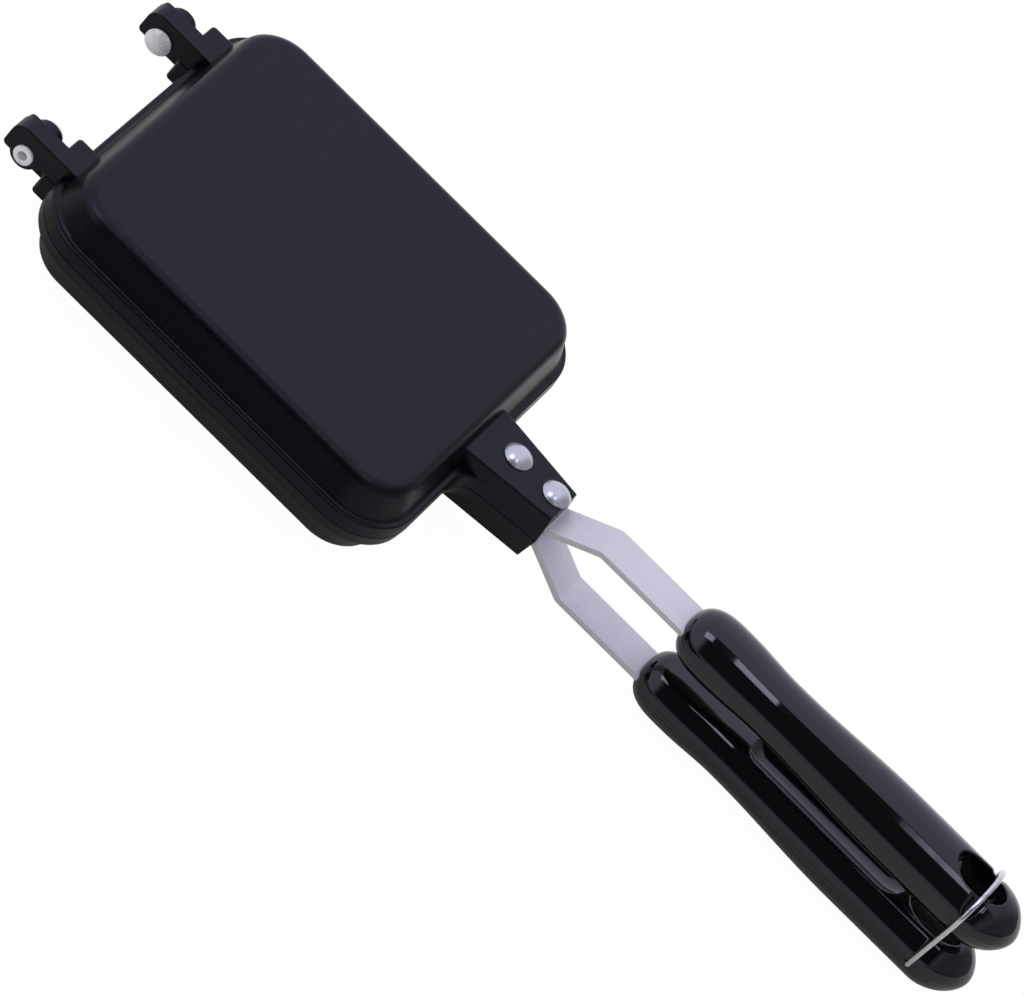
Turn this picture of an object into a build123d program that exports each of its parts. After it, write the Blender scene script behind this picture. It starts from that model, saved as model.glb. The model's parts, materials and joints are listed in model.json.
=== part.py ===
from build123d import *
import math
import os

# Double-sided frying pan. Two cast pans of one shape close on each other at a parting plane.
# They are hinged at the -X end by two pins and carry a steel strap and a moulded grip at the +X end.
# A wire bail on the lower grip latches over the upper one.
# Millimetres, +Z up, origin at the middle of the lower pan's flat base.

# Pan casting, measured from the parting plane between the two pans
pan_length = 140.4
pan_width = 126.8
pan_corner_radius = 20.5
pan_depth = 15.4
rim_height = 4.6
casting_draft = 6.5
rim_edge_radius = 0.7
rim_ledge = 2.0
wall_draft = 20.0
wall_foot_radius = 1.2
plateau_edge_radius = 4.0
rim_land = 4.2
floor_thickness = 4.0
floor_corner_radius = 5.0
parting_gap = 0.3

# Hinge at the -X end
pin_from_rim = 11.9
hinge_block_from_side = 25.9
hinge_block_width = 13.3
hinge_block_height = 8.2
hinge_block_corner = 1.3
hinge_block_from_pin = 7.75
hinge_side_gap = 0.3
hinge_edge_radius = 0.8
knuckle_radius = 4.9
arm_tip_gap = 0.3
arm_lug_drop = 2.3
arm_web_drop = 1.15
arm_tip_radius = 4.2
arm_lug_radius = 1.6
arm_web_gap = 1.2

# Hinge pins, one radius clearance for both holes
pin_radius = 2.4
pin_clearance = 0.06
pin_head_radius = 4.45
pin_head_height = 2.3
pin_head_edge = 0.6
pin_flange_radius = 3.25
pin_flange_thickness = 0.9
pin_bore_radius = 1.5
pin_bore_depth = 3.0
pin_end_gap = 0.1

# Neck that holds the strap at the +X end
neck_length = 28.6
neck_half_width_at_end = 8.8
neck_flare = 7.6
neck_height = 9.8
neck_edge_radius = 0.8
neck_root_radius = 8.5
neck_root_depth = 6.0

# Strap
strap_width = 13.4
strap_thickness = 2.0
strap_inner_height = 2.2
strap_seat_gap = 0.15
strap_end_inset = 3.0
strap_first_bend = 2.4
strap_slope = 32.0
strap_bend_radius = 4.0
strap_rise = 9.05
tang_to_hole = 14.25
tang_corner_radius = 2.0

# Rivets that hold the strap in the neck
rivet_first = 8.0
rivet_offset = 1.2
rivet_pitch = 15.4
rivet_radius = 2.5
rivet_clearance = 0.05
rivet_head_radius = 4.75
rivet_head_height = 2.5
rivet_head_edge = 0.4
rivet_tail_radius = 3.8
rivet_tail_height = 1.3

# Grips
grip_from_neck = 47.3
grip_length = 131.3
grip_mid_height = 11.8
grip_flatness = 1.75
grip_bulb_half_width = 11.3
grip_waist_half_width = 10.4
grip_back_half_width = 12.1
grip_bulb_at = 16.0
grip_waist_at = 36.0
grip_back_at = 84.0
grip_nose_length = 14.1
grip_nose_power = 2.8
grip_tail_length = 14.0
grip_tail_power = 1.8
grip_inner_at_nose = 4.2
grip_inner_at_tail = 3.0
tang_clearance = 0.05
recess_at = 38.7
recess_to_hole = 3.85
recess_width = 11.6
recess_floor_height = 6.0
hanging_hole_from_tail = 19.6
hanging_hole_length = 18.9
hanging_hole_width = 12.6

# Latch bail
wire_radius = 0.85
bail_from_tail = 16.9
bail_lean = 1.9
bail_side_gap = 0.3
bail_over_grip = 0.35
bail_foot_length = 5.0
bail_corner_radius = 9.0
bail_corner_turn = 50.0
pivot_clearance = 0.08
groove_radius = 2.6
groove_reach = 9.0
relief_clearance = 0.25
relief_turn = 70.0

# Places that follow from the sizes
parting_z = pan_depth
rim_x = pan_length / 2
pin_x = -rim_x - pin_from_rim
rim_draft_run = rim_height * math.tan(math.radians(casting_draft))
wall_inset = rim_draft_run + rim_ledge
arm_width = (hinge_block_width - hinge_side_gap) / 2
arm_tip = hinge_block_from_pin - arm_tip_gap
neck_end_x = rim_x + neck_length
strap_outer_height = strap_inner_height + strap_thickness
grip_x = neck_end_x + grip_from_neck
strap_start_x = rim_x + strap_end_inset
strap_bend_x = neck_end_x + strap_first_bend
grip_tail_x = grip_x + grip_length
hole_x = grip_tail_x - hanging_hole_from_tail
hole_start_x = hole_x - hanging_hole_length / 2
recess_length = hole_start_x - recess_to_hole - grip_x - recess_at
tang_end_x = hole_start_x - tang_to_hole
bail_x = grip_tail_x - bail_from_tail
hinge_block_centre = pan_width / 2 - hinge_block_from_side
rivet_x = [rim_x + rivet_first, rim_x + rivet_first + rivet_pitch]
hinge_ys = (-hinge_block_centre, hinge_block_centre)

# Both pans, their straps, rivets and grips are made once, above the parting plane. Every such piece
# is then placed twice: as made for the upper half, and turned half round about X for the lower half.
upper_place = Location((0, 0, parting_z))
lower_place = Location((0, 0, parting_z), (180, 0, 0))


def place(piece, location, name):
    """One labelled copy of a piece, written to its own file."""
    with BuildPart() as placed:
        add(piece.moved(location))
    placed.part.label = name
    export_step(placed.part, f"parts/{name}.step")
    return placed.part


def neck_half_width(x):
    """Half width of the neck at the parting face."""
    return neck_half_width_at_end + (neck_end_x - x) * math.tan(math.radians(neck_flare))


os.makedirs("parts", exist_ok=True)

# Plan of the neck at the parting face, tapered to its end
neck_root_x = rim_x - neck_root_depth
with BuildSketch() as neck_plan:
    with BuildLine():
        Polyline(
            (neck_root_x, -neck_half_width(neck_root_x)),
            (neck_end_x, -neck_half_width_at_end),
            (neck_end_x, neck_half_width_at_end),
            (neck_root_x, neck_half_width(neck_root_x)),
            close=True,
        )
    make_face()

# Side view of a hinge arm: knuckle round the pin, stop lug at the tip, web back to the pan
lug_run = math.sqrt(knuckle_radius**2 - arm_lug_drop**2)
web_run = math.sqrt(knuckle_radius**2 - arm_web_drop**2)
block_x = pin_x + hinge_block_from_pin
web_end_x = block_x - arm_web_gap
block_root_x = -rim_x + wall_inset + rim_ledge
with BuildSketch(Plane.XZ) as arm_side:
    with BuildLine():
        Polyline(
            (pin_x - lug_run, -arm_lug_drop),
            (pin_x - arm_tip, -arm_lug_drop),
            (pin_x - arm_tip, hinge_block_height),
            (block_root_x, hinge_block_height),
            (block_root_x, 0),
            (web_end_x, 0),
            (web_end_x, -arm_web_drop),
            (pin_x + web_run, -arm_web_drop),
        )
        ThreePointArc(
            (pin_x + web_run, -arm_web_drop),
            (pin_x, -knuckle_radius),
            (pin_x - lug_run, -arm_lug_drop),
        )
    make_face()
    fillet(arm_side.vertices().group_by(Axis.X)[0].sort_by(Axis.Y)[-1], arm_tip_radius)
    fillet(arm_side.vertices().group_by(Axis.X)[0].sort_by(Axis.Y)[0], arm_lug_radius)

# Neck: drafted block over the rim's end, its upper edges rounded
with BuildPart() as neck:
    with BuildSketch():
        add(neck_plan.sketch)
    extrude(amount=neck_height, taper=casting_draft)
    fillet(neck.faces().sort_by(Axis.Z)[-1].edges(), neck_edge_radius)

# Hinge lug about y = 0: a block against the rim, and one arm on its -Y half
with BuildPart() as hinge_lug:
    with BuildSketch():
        with BuildLine():
            Polyline(
                (block_x, -hinge_block_width / 2),
                (block_root_x, -hinge_block_width / 2),
                (block_root_x, hinge_block_width / 2),
                (block_x, hinge_block_width / 2),
                close=True,
            )
        block_plan = make_face()
        fillet(block_plan.vertices().group_by(Axis.X)[0], hinge_block_corner)
    extrude(amount=hinge_block_height)
    block_top = hinge_lug.faces().sort_by(Axis.Z)[-1].edges().filter_by(
        lambda edge: edge.center().X < block_root_x - hinge_edge_radius and edge.center().Y > -arm_width / 2
    )
    fillet(block_top, hinge_edge_radius)
    with BuildSketch(Plane.XZ.offset(hinge_side_gap / 2)):
        add(arm_side.sketch_local)
    extrude(amount=arm_width)
    fillet(hinge_lug.faces().filter_by(Plane.XZ).sort_by(Axis.Y)[0].edges(), hinge_edge_radius / 2)

# Pan casting: drafted rim, sloped wall and flat plateau, with the neck, the hinge lugs and the cavity
with BuildPart() as casting:
    with BuildSketch() as rim_plan:
        RectangleRounded(pan_length, pan_width, pan_corner_radius)
        add(neck_plan.sketch)
        roots = rim_plan.vertices().filter_by(
            lambda v: abs(v.X - rim_x) < 0.01 and abs(abs(v.Y) - neck_half_width(rim_x)) < 0.01
        )
        fillet(roots, neck_root_radius)
    extrude(amount=rim_height, taper=casting_draft)
    fillet(casting.faces().sort_by(Axis.Z)[-1].edges(), rim_edge_radius)
    with BuildSketch(Plane.XY.offset(rim_height)):
        RectangleRounded(
            pan_length - 2 * wall_inset,
            pan_width - 2 * wall_inset,
            pan_corner_radius - wall_inset,
        )
    extrude(amount=pan_depth - rim_height, taper=wall_draft)
    ledge = casting.faces().filter_by(Plane.XY).sort_by(lambda face: abs(face.center().Z - rim_height))[0]
    fillet(ledge.inner_wires()[0].edges(), wall_foot_radius)
    fillet(casting.faces().sort_by(Axis.Z)[-1].edges(), plateau_edge_radius)
    add(neck.part)
    for hinge_y in hinge_ys:
        add(hinge_lug.part.moved(Location((0, hinge_y, 0))))
    with BuildSketch(Plane.XZ):
        with Locations((pin_x, 0)):
            Circle(pin_radius + pin_clearance)
    extrude(amount=pan_width, both=True, mode=Mode.SUBTRACT)
    cavity_depth = pan_depth - floor_thickness
    with BuildSketch():
        RectangleRounded(
            pan_length - 2 * rim_land,
            pan_width - 2 * rim_land,
            pan_corner_radius - rim_land,
        )
    extrude(amount=cavity_depth, taper=wall_draft, mode=Mode.SUBTRACT)
    cavity_floor = casting.faces().filter_by(Plane.XY).filter_by(
        lambda face: abs(face.center().Z - cavity_depth) < 0.01
    )
    fillet(cavity_floor.edges(), floor_corner_radius)
    with BuildSketch():
        with BuildLine():
            Polyline(
                (strap_start_x - strap_seat_gap, -strap_width / 2 - strap_seat_gap),
                (neck_end_x + neck_length, -strap_width / 2 - strap_seat_gap),
                (neck_end_x + neck_length, strap_width / 2 + strap_seat_gap),
                (strap_start_x - strap_seat_gap, strap_width / 2 + strap_seat_gap),
                close=True,
            )
        make_face()
    extrude(amount=strap_outer_height, mode=Mode.SUBTRACT)
    with BuildSketch():
        with Locations(*[(x, rivet_offset) for x in rivet_x]):
            Circle(rivet_radius + rivet_clearance)
    extrude(amount=neck_height, mode=Mode.SUBTRACT)
    with BuildSketch():
        with Locations((web_end_x, 0)):
            Rectangle(neck_end_x - web_end_x, pan_width, align=(Align.MIN, Align.CENTER))
    extrude(amount=parting_gap / 2, mode=Mode.SUBTRACT)

upper_pan = place(casting.part, upper_place, "upper_pan")
lower_pan = place(casting.part, lower_place, "lower_pan")

# Strap: flat in the neck, cranked outward, then flat again as the tang inside the grip
tang_height = strap_inner_height + strap_thickness / 2 + strap_rise
slope_run = strap_rise / math.tan(math.radians(strap_slope))
strap_low_z = strap_inner_height + strap_thickness / 2
with BuildPart() as strap:
    with BuildSketch(Plane.XZ):
        with BuildLine():
            FilletPolyline(
                (strap_start_x, strap_low_z),
                (strap_bend_x, strap_low_z),
                (strap_bend_x + slope_run, tang_height),
                (tang_end_x, tang_height),
                radius=strap_bend_radius,
            )
        trace(line_width=strap_thickness)
    extrude(amount=strap_width / 2, both=True)
    fillet(
        strap.edges().filter_by(Axis.Z).group_by(Axis.X)[-1],
        tang_corner_radius,
    )
    with BuildSketch():
        with Locations(*[(x, rivet_offset) for x in rivet_x]):
            Circle(rivet_radius + rivet_clearance)
    extrude(amount=neck_height, mode=Mode.SUBTRACT)

place(strap.part, upper_place, "upper_strap")
place(strap.part, lower_place, "lower_strap")

# Strap rivet: domed head on the neck, shank through neck and strap, clenched tail under the strap
head_sphere = (rivet_head_radius**2 + (rivet_head_height - rivet_head_edge) ** 2) / (
    2 * (rivet_head_height - rivet_head_edge)
)
for number, x in enumerate(rivet_x, start=1):
    with BuildPart() as rivet:
        with BuildSketch(Plane.XZ.offset(-rivet_offset)):
            with BuildLine():
                tail_z = strap_inner_height - rivet_tail_height
                Polyline(
                    (x, neck_height + rivet_head_height),
                    (x, tail_z),
                    (x + rivet_tail_radius - rivet_tail_height / 2, tail_z),
                    (x + rivet_tail_radius, strap_inner_height),
                    (x + rivet_radius, strap_inner_height),
                    (x + rivet_radius, neck_height),
                    (x + rivet_head_radius, neck_height),
                    (x + rivet_head_radius, neck_height + rivet_head_edge),
                )
                RadiusArc(
                    (x + rivet_head_radius, neck_height + rivet_head_edge),
                    (x, neck_height + rivet_head_height),
                    -head_sphere,
                )
            make_face()
        revolve(axis=Axis((x, rivet_offset, 0), (0, 0, 1)))
    place(rivet.part, upper_place, f"upper_rivet_{number}")
    place(rivet.part, lower_place, f"lower_rivet_{number}")

# Hinge pin: domed head toward the pan's middle, semi-tubular end clenched on the outside
def hinge_pin(hinge_y, name):
    """Pin revolved about its own Y axis, its head on the side of the block nearer y = 0."""
    inward = -1 if hinge_y > 0 else 1
    shoulder = hinge_block_width / 2 + pin_end_gap
    axis_x = pin_x
    dome = pin_head_height - pin_head_edge
    head_sphere = (pin_head_radius**2 + dome**2) / (2 * dome)
    axis = Axis((axis_x, hinge_y, parting_z), (0, inward, 0))
    section = Plane(origin=(axis_x, hinge_y, parting_z), x_dir=(1, 0, 0), z_dir=(0, 0, inward))
    with BuildPart() as pin:
        with BuildSketch(section):
            with BuildLine():
                tail = -shoulder - pin_flange_thickness
                Polyline(
                    (0, shoulder + pin_head_height),
                    (0, tail + pin_bore_depth),
                    (pin_bore_radius, tail + pin_bore_depth),
                    (pin_bore_radius, tail),
                    (pin_flange_radius - pin_flange_thickness / 2, tail),
                    (pin_flange_radius, tail + pin_flange_thickness / 2),
                    (pin_flange_radius, -shoulder),
                    (pin_radius, -shoulder),
                    (pin_radius, shoulder),
                    (pin_head_radius, shoulder),
                    (pin_head_radius, shoulder + pin_head_edge),
                )
                RadiusArc(
                    (pin_head_radius, shoulder + pin_head_edge),
                    (0, shoulder + pin_head_height),
                    -head_sphere,
                )
            make_face()
        revolve(axis=axis)
    pin.part.label = name
    export_step(pin.part, f"parts/{name}.step")


hinge_pin(-hinge_block_centre, "hinge_pin_left")
hinge_pin(hinge_block_centre, "hinge_pin_right")


def blend(start, end, share):
    """Smooth step from start to end as share runs from 0 to 1."""
    share = min(max(share, 0), 1)
    return start + (end - start) * (1 - math.cos(math.pi * share)) / 2


def grip_half_width(along):
    """Half width of the grip at a distance from its nose, with the rounded nose and tail."""
    body = blend(
        grip_bulb_half_width,
        grip_waist_half_width,
        (along - grip_bulb_at) / (grip_waist_at - grip_bulb_at),
    )
    if along > grip_waist_at:
        body = blend(
            grip_waist_half_width,
            grip_back_half_width,
            (along - grip_waist_at) / (grip_back_at - grip_waist_at),
        )
    return body


def end_share(share, power):
    """Share of the full section left at a share of the way in from a rounded end."""
    return (1 - (1 - min(share, 1)) ** power) ** (1 / power)


# Stations along the grip: close together in the rounded ends, even between them
nose_shares = (0.012, 0.06, 0.17, 0.36, 0.64, 1)
tail_shares = (1, 0.7, 0.44, 0.22, 0.08, 0.015)
body_steps = 12
body_length = grip_length - grip_nose_length - grip_tail_length
stations = [(share * grip_nose_length, end_share(share, grip_nose_power)) for share in nose_shares]
stations += [
    (grip_nose_length + body_length * step / body_steps, 1) for step in range(1, body_steps)
]
stations += [
    (grip_length - share * grip_tail_length, end_share(share, grip_tail_power))
    for share in tail_shares
]

# Moulded grip: oval loft, flat on its inner side, with a pocket for the tang, a recess in the flat and
# a hanging hole
with BuildPart() as grip:
    for along, share in stations:
        half_width = grip_half_width(along)
        with BuildSketch(Plane.YZ.offset(grip_x + along)):
            with Locations((0, grip_mid_height)):
                Ellipse(half_width * share, (half_width - grip_flatness) * share)
    loft()
    with BuildSketch(Plane.XZ):
        with BuildLine():
            Polyline(
                (grip_x, 0),
                (grip_x, grip_inner_at_nose),
                (grip_tail_x, grip_inner_at_tail),
                (grip_tail_x, 0),
                close=True,
            )
        make_face()
    extrude(amount=grip_back_half_width, both=True, mode=Mode.SUBTRACT)
    with BuildSketch(Plane.XZ):
        with BuildLine():
            Polyline(
                (neck_end_x, tang_height - strap_thickness / 2 - tang_clearance),
                (tang_end_x + tang_clearance, tang_height - strap_thickness / 2 - tang_clearance),
                (tang_end_x + tang_clearance, tang_height + strap_thickness / 2 + tang_clearance),
                (neck_end_x, tang_height + strap_thickness / 2 + tang_clearance),
                close=True,
            )
        make_face()
    extrude(amount=strap_width / 2 + tang_clearance, both=True, mode=Mode.SUBTRACT)
    with BuildSketch():
        with Locations((grip_x + recess_at + recess_length / 2, 0)):
            SlotOverall(recess_length, recess_width)
    extrude(amount=recess_floor_height, mode=Mode.SUBTRACT)
    with BuildSketch():
        with Locations((hole_x, 0)):
            Ellipse(hanging_hole_length / 2, hanging_hole_width / 2)
    extrude(amount=2 * grip_mid_height, mode=Mode.SUBTRACT)

# Bail centreline in its own plane: u along Y, v up from the pivot in the lower grip
leg_u = grip_back_half_width + bail_side_gap + wire_radius
bail_height = 2 * grip_mid_height + grip_back_half_width - grip_flatness + bail_over_grip
foot_radius = leg_u - grip_back_half_width
crown_radius = bail_corner_radius + (leg_u - bail_corner_radius) / math.cos(
    math.radians(bail_corner_turn)
)
corner_v = (
    bail_height
    - crown_radius
    + (crown_radius - bail_corner_radius) * math.sin(math.radians(bail_corner_turn))
)
crown_turn = 2 * (90 - bail_corner_turn)
lean = math.radians(bail_lean)
bail_plane = Plane(
    origin=(bail_x, 0, -grip_mid_height),
    x_dir=(0, 1, 0),
    z_dir=(math.cos(lean), 0, -math.sin(lean)),
)


def bail_arch(foot_v, inset):
    """Legs, corners and crown of the bail, drawn inward of its centreline by inset."""
    with BuildLine() as arch:
        rise = Line((inset - leg_u, foot_v), (inset - leg_u, corner_v))
        corner = JernArc(rise @ 1, rise % 1, bail_corner_radius - inset, -bail_corner_turn)
        crown = JernArc(corner @ 1, corner % 1, crown_radius - inset, -crown_turn)
        far_corner = JernArc(crown @ 1, crown % 1, bail_corner_radius - inset, -bail_corner_turn)
        Line(far_corner @ 1, (leg_u - inset, foot_v))
    return arch.line


# Latch bail: one bent wire, its feet turned into the lower grip's pivot holes
with BuildLine() as bail_route:
    add(bail_arch(foot_radius, 0))
    for side in (-1, 1):
        CenterArc((side * (leg_u - foot_radius), foot_radius), foot_radius, 270, side * 90)
        Line((side * (leg_u - foot_radius), 0), (side * (leg_u - bail_foot_length), 0))
bail_path = bail_plane.from_local_coords(bail_route.wire())
with BuildPart() as bail:
    with BuildSketch(Plane(origin=bail_path @ 0, z_dir=bail_path % 0)):
        Circle(wire_radius)
    sweep(path=bail_path)
latch_bail = place(bail.part, upper_place, "latch_bail")

# Upper grip: a groove where the bail's crown crosses it, and a relief that the bail swings back through
with BuildLine() as groove_route:
    corner_end = bail_corner_radius * math.cos(math.radians(bail_corner_turn))
    crown_end_u = leg_u - bail_corner_radius + corner_end
    crown_end_v = corner_v + bail_corner_radius * math.sin(math.radians(bail_corner_turn))
    tangent_u = groove_reach * math.sin(math.radians(bail_corner_turn))
    tangent_v = groove_reach * math.cos(math.radians(bail_corner_turn))
    ThreePointArc((-crown_end_u, crown_end_v), (0, bail_height), (crown_end_u, crown_end_v))
    for side in (-1, 1):
        Line(
            (side * crown_end_u, crown_end_v),
            (side * (crown_end_u + tangent_u), crown_end_v - tangent_v),
        )
groove_path = bail_plane.from_local_coords(groove_route.wire())
with BuildPart() as groove:
    with BuildSketch(Plane(origin=groove_path @ 0, z_dir=groove_path % 0)):
        Circle(groove_radius)
    sweep(path=groove_path)
with BuildPart() as relief:
    with BuildSketch(bail_plane):
        with Locations((0, bail_height)):
            Rectangle(2 * leg_u + 2 * groove_reach, 2 * (bail_height - corner_v))
        with BuildLine():
            add(bail_arch(corner_v - bail_height, wire_radius + relief_clearance))
            Line(
                (wire_radius + relief_clearance - leg_u, corner_v - bail_height),
                (leg_u - wire_radius - relief_clearance, corner_v - bail_height),
            )
        make_face(mode=Mode.SUBTRACT)
    revolve(axis=Axis((bail_x, 0, -grip_mid_height), (0, 1, 0)), revolution_arc=relief_turn)
with BuildPart() as upper_grip:
    add(grip.part)
    add(groove.part, mode=Mode.SUBTRACT)
    add(relief.part, mode=Mode.SUBTRACT)
place(upper_grip.part, upper_place, "upper_grip")

# Lower grip: two blind pivot holes for the bail's feet
with BuildPart() as lower_grip:
    add(grip.part)
    for side in (-1, 1):
        with BuildSketch(Plane.XZ.offset(side * (leg_u - bail_foot_length - bail_side_gap))):
            with Locations((bail_x, grip_mid_height)):
                Circle(wire_radius + pivot_clearance)
        extrude(amount=side * (bail_foot_length + bail_side_gap), mode=Mode.SUBTRACT)
place(lower_grip.part, lower_place, "lower_grip")
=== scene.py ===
import json
import math
import bpy
import numpy as np
from mathutils import Matrix, Vector


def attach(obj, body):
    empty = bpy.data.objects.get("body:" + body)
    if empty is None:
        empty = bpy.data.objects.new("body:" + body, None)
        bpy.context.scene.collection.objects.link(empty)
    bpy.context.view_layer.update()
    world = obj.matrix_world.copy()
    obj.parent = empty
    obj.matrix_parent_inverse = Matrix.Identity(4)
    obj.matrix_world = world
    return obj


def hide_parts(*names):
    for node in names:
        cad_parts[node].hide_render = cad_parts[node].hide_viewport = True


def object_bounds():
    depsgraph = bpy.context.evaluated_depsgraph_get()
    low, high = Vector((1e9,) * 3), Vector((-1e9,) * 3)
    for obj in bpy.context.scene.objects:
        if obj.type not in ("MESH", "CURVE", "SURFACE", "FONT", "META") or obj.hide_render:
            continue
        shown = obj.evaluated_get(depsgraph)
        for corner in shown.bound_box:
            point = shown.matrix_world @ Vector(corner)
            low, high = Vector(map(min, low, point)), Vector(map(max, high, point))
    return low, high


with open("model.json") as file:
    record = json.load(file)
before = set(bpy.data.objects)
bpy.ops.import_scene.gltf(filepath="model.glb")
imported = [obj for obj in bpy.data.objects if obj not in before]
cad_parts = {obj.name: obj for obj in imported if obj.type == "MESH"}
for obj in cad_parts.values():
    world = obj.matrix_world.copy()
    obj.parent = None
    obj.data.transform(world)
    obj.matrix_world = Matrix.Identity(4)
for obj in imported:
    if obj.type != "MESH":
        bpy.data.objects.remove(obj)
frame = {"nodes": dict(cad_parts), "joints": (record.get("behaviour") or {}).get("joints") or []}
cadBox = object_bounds()

# Double-sided frying pan, closed and latched. Metres, +Z up, grips towards +X.
# Both halves are one shape: the lower one is the upper one turned half round about X.
nodes = frame["nodes"]
jointPlace = {joint["name"]: Vector(joint["pos_m"]) for joint in frame["joints"]}
partingZ = jointPlace["pan_hinge"].z        # the plane on which the two pans meet
halves = {"upper": 1, "lower": -1}          # sign of Y and of the height above the parting plane
mm = 0.001


# Node helpers, for shader and geometry trees alike

def feed(tree, node, inputs):
    # links each of these inputs to another node's output, or gives it a plain value
    for key, value in inputs.items():
        if isinstance(value, bpy.types.NodeSocket):
            tree.links.new(value, node.inputs[key])
        else:
            node.inputs[key].default_value = value
    return node


def put(tree, kind, inputs=None, **settings):
    # adds a node, sets its properties, then feeds its inputs
    node = tree.nodes.new(kind)
    for name, value in settings.items():
        setattr(node, name, value)
    return feed(tree, node, inputs or {})


def startMaterial(name):
    # a new material with its tree, its shader and the object coordinates that its patterns read
    material = bpy.data.materials.new(name)
    material.use_nodes = True
    tree = material.node_tree
    coords = put(tree, "ShaderNodeTexCoord").outputs["Object"]
    return material, tree, tree.nodes["Principled BSDF"], coords


def sums(tree, operation, first, second=0.0, third=0.0):
    # one Math node of a shader or geometry tree
    return put(tree, "ShaderNodeMath", {0: first, 1: second, 2: third}, operation=operation).outputs[0]


def ramp(tree, value, low, high, lowOut=0.0, highOut=1.0):
    # value mapped from low..high to lowOut..highOut, clamped
    return put(tree, "ShaderNodeMapRange", {
        "Value": value, "From Min": low, "From Max": high, "To Min": lowOut, "To Max": highOut,
    }).outputs["Result"]


def mixColour(tree, factor, first, second):
    # a Mix node's colours are its inputs 6 and 7 and its output 2
    return put(tree, "ShaderNodeMix", {0: factor, 6: first, 7: second}, data_type="RGBA").outputs[2]


def mixNumber(tree, factor, first, second):
    return put(tree, "ShaderNodeMix", {0: factor, 2: first, 3: second}, data_type="FLOAT").outputs[0]


def axesOf(tree, vector):
    return put(tree, "ShaderNodeSeparateXYZ", {"Vector": vector}).outputs


def noise(tree, coords, scale, detail=3.0, roughness=0.55):
    return put(tree, "ShaderNodeTexNoise", {
        "Vector": coords, "Scale": scale, "Detail": detail, "Roughness": roughness,
    }).outputs["Fac"]


def stretched(tree, coords, scale):
    # object coordinates scaled by axis, for marks that run along one direction
    return put(tree, "ShaderNodeMapping", {"Vector": coords, "Scale": scale}).outputs["Vector"]


def bump(tree, height, depth):
    node = put(tree, "ShaderNodeBump", {"Height": height, "Distance": depth, "Strength": 1.0})
    return node.outputs["Normal"]


noiseSpan = (0.3, 0.7)        # the part of a noise's range that runs over a look's two roughnesses


# Pan coating: charcoal non-stick, satin, with a very fine orange peel and hardly visible mica
coatingLook = {
    "base": (0.0008, 0.0008, 0.0010, 1),
    "mica": (0.012, 0.012, 0.014, 1),
    "sheenTint": (0.80, 0.80, 1.0, 1),
    "ior": 1.386,
    "roughness": (0.29, 0.36),
    "cloudScale": 26,
    "peelScale": 1900,
    "peelDepth": 0.000012,
    "micaScale": 3600,
    "micaShare": 0.05,
}


def makeCoating(look):
    material, tree, shader, coords = startMaterial("panCoating")
    cloud = noise(tree, coords, look["cloudScale"])
    peel = noise(tree, coords, look["peelScale"], detail=2)
    cells = put(tree, "ShaderNodeTexVoronoi", {"Vector": coords, "Scale": look["micaScale"]})
    pick = put(tree, "ShaderNodeSeparateColor", {"Color": cells.outputs["Color"]}).outputs["Red"]
    mica = ramp(tree, pick, 1 - look["micaShare"], 1)
    feed(tree, shader, {
        "Base Color": mixColour(tree, mica, look["base"], look["mica"]),
        "IOR": look["ior"],
        "Specular Tint": look["sheenTint"],
        "Roughness": ramp(tree, cloud, *noiseSpan, *look["roughness"]),
        "Normal": bump(tree, peel, look["peelDepth"]),
    })
    return material


# Grip plastic: gloss black phenolic with a slow waviness, fine handling marks and a mould line
gripLook = {
    "base": (0.0030, 0.0030, 0.0036, 1),
    "sheenTint": (0.93, 0.93, 1.0, 1),
    "ior": 1.58,
    "roughness": (0.05, 0.085),
    "rubbed": 0.16,
    "rubbedFrom": (0.62, 0.75),        # noise at which the handling marks start and are full
    "rubScale": (60, 900, 900),
    "cloudScale": 60,
    "waveScale": 120,
    "waveDepth": 0.000018,
    "lineHalfWidth": 0.00022,
    "lineHeight": 0.00009,
}


def makeGripPlastic(look, half, midHeight):
    material, tree, shader, coords = startMaterial("gripPlastic_" + half)
    cloud = noise(tree, coords, look["cloudScale"])
    wave = noise(tree, coords, look["waveScale"], detail=1)
    rubs = noise(tree, stretched(tree, coords, look["rubScale"]), 1, detail=4)
    height = axesOf(tree, coords)["Z"]
    offLine = sums(tree, "ABSOLUTE", sums(tree, "SUBTRACT", height, partingZ + halves[half] * midHeight))
    line = ramp(tree, offLine, 0, look["lineHalfWidth"], 1, 0)
    relief = sums(tree, "MULTIPLY_ADD", line, look["lineHeight"] / look["waveDepth"], wave)
    sheen = ramp(tree, cloud, *noiseSpan, *look["roughness"])
    marks = ramp(tree, rubs, *look["rubbedFrom"], 0, look["rubbed"] - look["roughness"][1])
    feed(tree, shader, {
        "Base Color": look["base"],
        "IOR": look["ior"],
        "Specular Tint": look["sheenTint"],
        "Roughness": sums(tree, "ADD", sheen, marks),
        "Normal": bump(tree, relief, look["waveDepth"]),
    })
    return material


# Strap steel: dull satin plating, pale and slightly violet, with tiny pits and drawn lines, and edges
# darkened with painted shade
steelLook = {
    "base": (0.60, 0.585, 0.69, 1),
    "stain": (0.565, 0.555, 0.645, 1),
    "stainFrom": (0.45, 0.75),         # noise at which the stain starts and is full
    # colour of the painted shade along the strap's edges
    "edge": (0.42, 0.41, 0.44, 1),
    "edgeShadeFrom": (0.00625, 0.00662),    # distance from the middle line at which the painted edge shade starts and is full
    "pit": (0.12, 0.12, 0.13, 1),
    "pitReach": (0.12, 0.34),          # from a pit's middle to its soft rim, in cells
    "pitScale": 900,
    "pitShare": 0.03,
    "metallic": 0.15,
    "roughness": (0.38, 0.48),
    "cloudScale": 70,
    "lineScale": (25, 2600, 2600),
    "lineDepth": 0.000012,
}


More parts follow.
